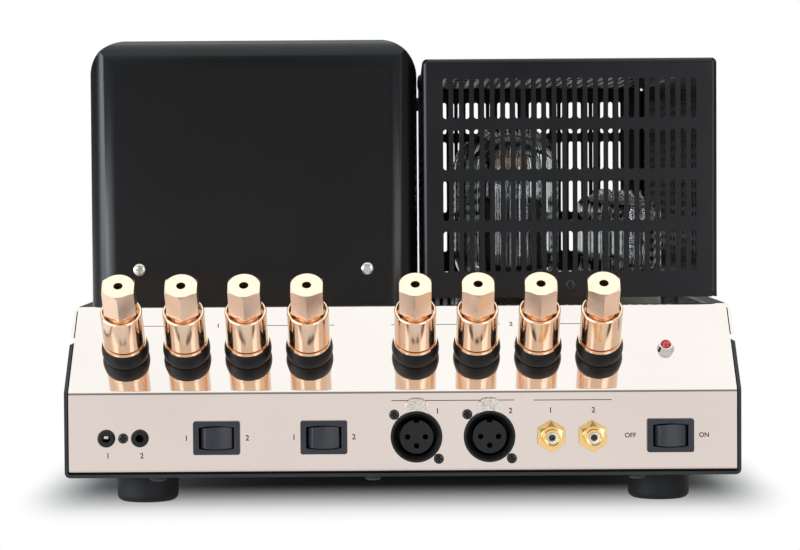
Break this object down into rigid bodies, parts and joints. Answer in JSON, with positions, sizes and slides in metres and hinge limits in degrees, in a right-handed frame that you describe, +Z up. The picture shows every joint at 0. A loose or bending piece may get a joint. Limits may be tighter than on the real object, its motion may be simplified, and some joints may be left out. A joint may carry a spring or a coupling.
{
  "type": "tube power amplifier",
  "caption": "Free-standing tube power amplifier with a bright folded chassis, a sloped panel of gold binding posts, black transformer covers and a slotted cage over its tubes.",
  "frame": {"origin": "middle of the footprint, on the surface that the feet stand on", "axes": "+X across the connector panel to its right, +Y from that panel to the far end, +Z up"},
  "size_m": [0.305, 0.4416, 0.2138],
  "materials": {
    "polished_steel": "polished stainless sheet",
    "black_enamel": "baked black enamel, satin",
    "black_powder_coat": "fine black powder coat, satin",
    "black_steel_screw": "black oxide",
    "rubber": "moulded, matt",
    "bright_steel": "nickel plated",
    "zinc_steel": "zinc plated",
    "core_steel": "laminated, varnished",
    "copper_winding": "taped copper wire",
    "ceramic": "unglazed",
    "tube_base": "moulded phenolic",
    "tube_glass": "clear blown glass",
    "anode_metal": "carbonised nickel",
    "green_lamp": "clear green lens",
    "circuit_board": "solder resist",
    "capacitor_sleeve": "shrink sleeve",
    "post_insulator": "moulded, matt",
    "gold_plate": "gold plated, polished",
    "jack_gold": "gold plated, bright",
    "jack_white": "moulded, pale",
    "socket_black": "moulded, satin",
    "switch_plastic": "moulded, fine satin",
    "red_lens": "red cast lens"
  },
  "bodies": {
    "chassis": {"chassis_shell": "polished_steel", "front_output_cover": "black_enamel", "power_transformer_cover": "black_enamel", "rear_output_cover": "black_enamel", "bottom_tray": "black_powder_coat", "cage_front_panel": "black_powder_coat", "cage_rear_panel": "black_powder_coat", "cage_left_panel": "black_powder_coat", "cage_right_panel": "black_powder_coat", "cage_top_panel": "black_powder_coat", "cage_brackets": "black_powder_coat", "black_screws": "black_steel_screw", "underside_screws": "black_steel_screw", "rubber_feet": "rubber", "cage_pads": "rubber", "cover_screws": "bright_steel", "lamp_bezel": "bright_steel", "board_spacers": "bright_steel", "transformer_frames": "zinc_steel", "transformer_cores": "core_steel", "transformer_windings": "copper_winding", "tube_sockets": "ceramic", "power_tube_bases": "tube_base", "tube_bulbs": "tube_glass", "tube_anodes": "anode_metal", "socket_lights": "green_lamp", "circuit_boards": "circuit_board", "filter_capacitors": "capacitor_sleeve", "post_insulators": "post_insulator", "post_studs": "gold_plate", "rca_jacks": "jack_gold", "rca_insulators": "jack_white", "xlr_shells": "socket_black", "xlr_inserts": "socket_black", "control_jacks": "socket_black", "mains_inlet": "socket_black", "switch_housings": "switch_plastic", "lamp_lens": "red_lens"},
    "sleeve_1": {"post_sleeve_1": "gold_plate"},
    "sleeve_2": {"post_sleeve_2": "gold_plate"},
    "sleeve_3": {"post_sleeve_3": "gold_plate"},
    "sleeve_4": {"post_sleeve_4": "gold_plate"},
    "sleeve_5": {"post_sleeve_5": "gold_plate"},
    "sleeve_6": {"post_sleeve_6": "gold_plate"},
    "sleeve_7": {"post_sleeve_7": "gold_plate"},
    "sleeve_8": {"post_sleeve_8": "gold_plate"},
    "knob_1": {"post_knob_1": "gold_plate"},
    "knob_2": {"post_knob_2": "gold_plate"},
    "knob_3": {"post_knob_3": "gold_plate"},
    "knob_4": {"post_knob_4": "gold_plate"},
    "knob_5": {"post_knob_5": "gold_plate"},
    "knob_6": {"post_knob_6": "gold_plate"},
    "knob_7": {"post_knob_7": "gold_plate"},
    "knob_8": {"post_knob_8": "gold_plate"},
    "mode_rocker": {"mode_rocker": "switch_plastic"},
    "input_rocker": {"input_rocker": "switch_plastic"},
    "power_rocker": {"power_rocker": "switch_plastic"},
    "left_release_tab": {"left_release_tab": "bright_steel"},
    "right_release_tab": {"right_release_tab": "bright_steel"}
  },
  "joints": [
    {"name": "sleeve_1_slide", "type": "slide", "parent": "chassis", "child": "sleeve_1", "axis": [0, -0.6845, 0.729], "range_m": [0, 0.005]},
    {"name": "knob_1_turn", "type": "hinge", "parent": "sleeve_1", "child": "knob_1", "pos_m": [-0.12615, -0.21522, 0.10118], "axis": [0, -0.6845, 0.729], "range_deg": [0, 1480]},
    {"name": "sleeve_2_slide", "type": "slide", "parent": "chassis", "child": "sleeve_2", "axis": [0, -0.6845, 0.729], "range_m": [0, 0.005]},
    {"name": "knob_2_turn", "type": "hinge", "parent": "sleeve_2", "child": "knob_2", "pos_m": [-0.0982, -0.21522, 0.10118], "axis": [0, -0.6845, 0.729], "range_deg": [0, 1480]},
    {"name": "sleeve_3_slide", "type": "slide", "parent": "chassis", "child": "sleeve_3", "axis": [0, -0.6845, 0.729], "range_m": [0, 0.005]},
    {"name": "knob_3_turn", "type": "hinge", "parent": "sleeve_3", "child": "knob_3", "pos_m": [-0.07025, -0.21522, 0.10118], "axis": [0, -0.6845, 0.729], "range_deg": [0, 1480]},
    {"name": "sleeve_4_slide", "type": "slide", "parent": "chassis", "child": "sleeve_4", "axis": [0, -0.6845, 0.729], "range_m": [0, 0.005]},
    {"name": "knob_4_turn", "type": "hinge", "parent": "sleeve_4", "child": "knob_4", "pos_m": [-0.0423, -0.21522, 0.10118], "axis": [0, -0.6845, 0.729], "range_deg": [0, 1480]},
    {"name": "sleeve_5_slide", "type": "slide", "parent": "chassis", "child": "sleeve_5", "axis": [0, -0.6845, 0.729], "range_m": [0, 0.005]},
    {"name": "knob_5_turn", "type": "hinge", "parent": "sleeve_5", "child": "knob_5", "pos_m": [0.006, -0.21522, 0.10118], "axis": [0, -0.6845, 0.729], "range_deg": [0, 1480]},
    {"name": "sleeve_6_slide", "type": "slide", "parent": "chassis", "child": "sleeve_6", "axis": [0, -0.6845, 0.729], "range_m": [0, 0.005]},
    {"name": "knob_6_turn", "type": "hinge", "parent": "sleeve_6", "child": "knob_6", "pos_m": [0.03395, -0.21522, 0.10118], "axis": [0, -0.6845, 0.729], "range_deg": [0, 1480]},
    {"name": "sleeve_7_slide", "type": "slide", "parent": "chassis", "child": "sleeve_7", "axis": [0, -0.6845, 0.729], "range_m": [0, 0.005]},
    {"name": "knob_7_turn", "type": "hinge", "parent": "sleeve_7", "child": "knob_7", "pos_m": [0.0619, -0.21522, 0.10118], "axis": [0, -0.6845, 0.729], "range_deg": [0, 1480]},
    {"name": "sleeve_8_slide", "type": "slide", "parent": "chassis", "child": "sleeve_8", "axis": [0, -0.6845, 0.729], "range_m": [0, 0.005]},
    {"name": "knob_8_turn", "type": "hinge", "parent": "sleeve_8", "child": "knob_8", "pos_m": [0.08985, -0.21522, 0.10118], "axis": [0, -0.6845, 0.729], "range_deg": [0, 1480]},
    {"name": "mode_rocker_tilt", "type": "hinge", "parent": "chassis", "child": "mode_rocker", "pos_m": [-0.0838, -0.19989, 0.032], "axis": [0, 0, 1], "range_deg": [-24, 0]},
    {"name": "input_rocker_tilt", "type": "hinge", "parent": "chassis", "child": "input_rocker", "pos_m": [-0.0355, -0.19989, 0.032], "axis": [0, 0, 1], "range_deg": [-24, 0]},
    {"name": "power_rocker_tilt", "type": "hinge", "parent": "chassis", "child": "power_rocker", "pos_m": [0.1205, -0.19989, 0.032], "axis": [0, 0, 1], "range_deg": [-24, 0]},
    {"name": "left_release_press", "type": "slide", "parent": "chassis", "child": "left_release_tab", "axis": [0, 1, 0], "range_m": [0, 0.0018], "stiffness_N_per_m": 400},
    {"name": "right_release_press", "type": "slide", "parent": "chassis", "child": "right_release_tab", "axis": [0, 1, 0], "range_m": [0, 0.0018], "stiffness_N_per_m": 400}
  ],
  "couplings": [
    {"joint": "knob_1_turn", "follows": "sleeve_1_slide", "rad_per_m": 5026.5},
    {"joint": "knob_2_turn", "follows": "sleeve_2_slide", "rad_per_m": 5026.5},
    {"joint": "knob_3_turn", "follows": "sleeve_3_slide", "rad_per_m": 5026.5},
    {"joint": "knob_4_turn", "follows": "sleeve_4_slide", "rad_per_m": 5026.5},
    {"joint": "knob_5_turn", "follows": "sleeve_5_slide", "rad_per_m": 5026.5},
    {"joint": "knob_6_turn", "follows": "sleeve_6_slide", "rad_per_m": 5026.5},
    {"joint": "knob_7_turn", "follows": "sleeve_7_slide", "rad_per_m": 5026.5},
    {"joint": "knob_8_turn", "follows": "sleeve_8_slide", "rad_per_m": 5026.5}
  ]
}
